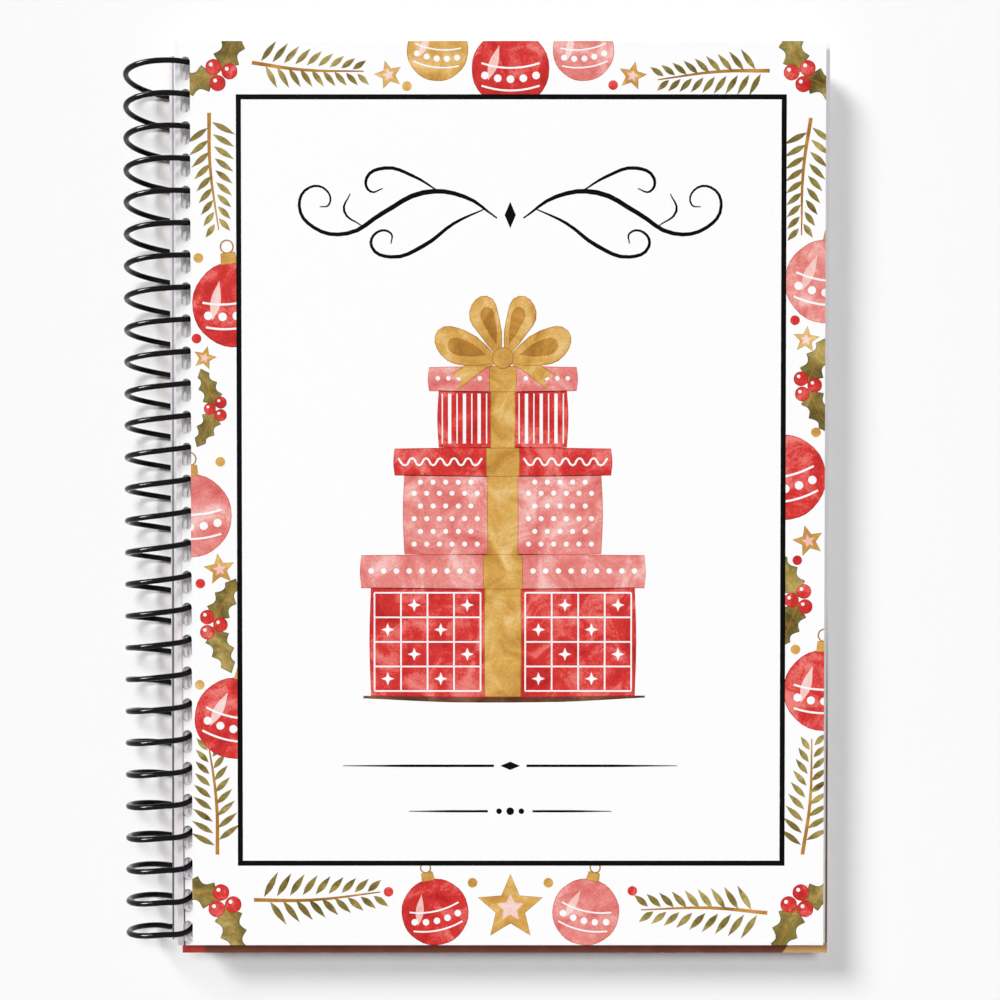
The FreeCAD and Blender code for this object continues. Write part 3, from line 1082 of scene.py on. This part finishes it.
def print_layer(shapes, level, is_line):
    """All outlines of one ink at one level, as a mesh."""
    start_piece()
    bpy.ops.curve.primitive_bezier_circle_add()
    film = bpy.context.object
    film.data.splines.clear()
    film.data.resolution_u = 4
    height = INK_STEP * (level + 1)
    if is_line:
        # a tube 1 mm across, which each point's own width then scales
        film.data.dimensions = "3D"
        film.data.bevel_depth = 0.5
        film.data.bevel_resolution = 1
        film.data.use_fill_caps = True
    else:
        film.data.dimensions = "2D"
        film.data.fill_mode = "BOTH"
        film.data.extrude = height / 2
    for shape in shapes:
        spline = film.data.splines.new("BEZIER")
        spline.use_cyclic_u = not is_line
        spline.use_smooth = False
        spline.bezier_points.add(len(shape) - 1)
        for knot, (x, y, mark) in zip(spline.bezier_points, shape):
            knot.co = (x, y, 0)
            knot.radius = mark if is_line else 1
            knot.handle_left_type = knot.handle_right_type = SMOOTH if is_line else mark
    pick(film)
    bpy.ops.object.convert(target="MESH")
    film = bpy.context.object
    close_up(film, SAME_POINT / MM)
    # a pen line is a round tube pressed almost flat
    film.scale = (MM, MM, MM * (2 * INK_STEP if is_line else 1))
    film.location = (0, 0, COVER_TOP + height * MM * (1 if is_line else 0.5))
    settle(film, "layer")
    trim(film)
    return film


def make_print(card):
    """Draws the cover's design and makes one piece of each ink."""
    draw_border()
    draw_frame()
    draw_scrolls()
    draw_gifts()
    draw_bow()
    films = {}
    for drawn, is_line in ((fills, False), (strokes, True)):
        for (ink, level), shapes in drawn.items():
            films.setdefault(ink, []).append(print_layer(shapes, level, is_line))
    inks = {**ink_materials(), "card": card}
    for ink, layers in films.items():
        film = layers[0]
        if len(layers) > 1:
            pick(film, *layers[1:])
            bpy.ops.object.join()
        settle(film, f"print_{ink}")
        dress(film, inks[ink])
        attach(film, "front")


make_print(card)

# The sheets that stay as the solids made them


def dress_sheets():
    """The back cover, the pages and their pockets keep their meshes, and get their materials."""
    dress(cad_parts["back_cover"], back_board())
    film, seal = pocket_film(), pocket_seal()
    for number in LEAVES:
        dress(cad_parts[f"page_{number}"], page_paper(number))
        dress(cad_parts[f"pocket_film_{number}"], film)
        dress(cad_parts[f"pocket_seals_{number}"], seal)


dress_sheets()

# Floor, light and camera


def make_stage():
    """A plain white floor."""
    start_piece()
    bpy.ops.mesh.primitive_plane_add(size=4)
    floor = settle(bpy.context.object, "floor")
    material, _, shader, _ = new_material("white_studio_floor")
    shader.inputs["Base Color"].default_value = colour("#fbfafa")
    shader.inputs["Roughness"].default_value = 0.9
    shader.inputs["Specular IOR Level"].default_value = 0.0
    dress(floor, material)
    floor.visible_glossy = False


make_stage()


def sun(name, share, spread, azimuth, zenith):
    """A lamp far away that gives the floor its share of the light.

    azimuth is where it stands, from +X towards +Y, and zenith its angle from straight up.
    """
    start_piece()
    bpy.ops.object.light_add(type="SUN")
    lamp = bpy.context.object
    lamp.name = name
    lamp.data.energy = math.pi * share / math.cos(math.radians(zenith))
    lamp.data.angle = math.radians(spread)
    lamp.rotation_euler = (0, math.radians(zenith), math.radians(azimuth))
    return lamp


# only the two lamps at the upper left show in the wire, as narrow glints
sun("key_light", 0.44, 18, 131.7, 53.5)
sun("glint_light", 1.6, 22, 152, 58).visible_diffuse = False
sun("overhead_light", 0.43, 14, 90, 23.5).visible_glossy = False

AMBIENT = 0.13
world = bpy.data.worlds.new("studio")
bpy.context.scene.world = world
world.use_nodes = True
sky = world.node_tree
rays = add(sky, "ShaderNodeLightPath")
# white to the camera, in gloss and through clear film, and a weak soft light for all else
seen = rays.outputs["Is Camera Ray"]
for ray in ("Is Transmission Ray", "Is Glossy Ray"):
    either = add(sky, "ShaderNodeMath", {0: seen, 1: rays.outputs[ray]}, operation="MAXIMUM")
    seen = either.outputs["Value"]
brightness = add(sky, "ShaderNodeMapRange", {"Value": seen, "To Min": AMBIENT, "To Max": 1.0})
sky.nodes["Background"].inputs["Color"].default_value = (1, 1, 1, 1)
sky.links.new(brightness.outputs["Result"], sky.nodes["Background"].inputs["Strength"])

# the camera looks down from this far above the cover, and sees this width of it
CAMERA_HEIGHT = 252 * MM
VIEW_WIDTH = 196.85 * MM
VIEW_CENTRE = Vector((4.64, 0.08, 0)) * MM
CAMERA_TILT = math.radians(-0.8)
SENSOR = 36

camera_data = bpy.data.cameras.new("camera")
camera = bpy.data.objects.new("camera", camera_data)
bpy.context.scene.collection.objects.link(camera)
camera_data.sensor_width = SENSOR
camera_data.lens = SENSOR * CAMERA_HEIGHT / VIEW_WIDTH
camera_data.clip_start = 0.01
camera.location = VIEW_CENTRE + Vector(
    (0, -CAMERA_HEIGHT * math.tan(CAMERA_TILT), COVER_TOP + CAMERA_HEIGHT)
)
camera.rotation_euler = (CAMERA_TILT, 0, 0)
bpy.context.scene.camera = camera
bpy.context.scene.view_settings.view_transform = "Standard"
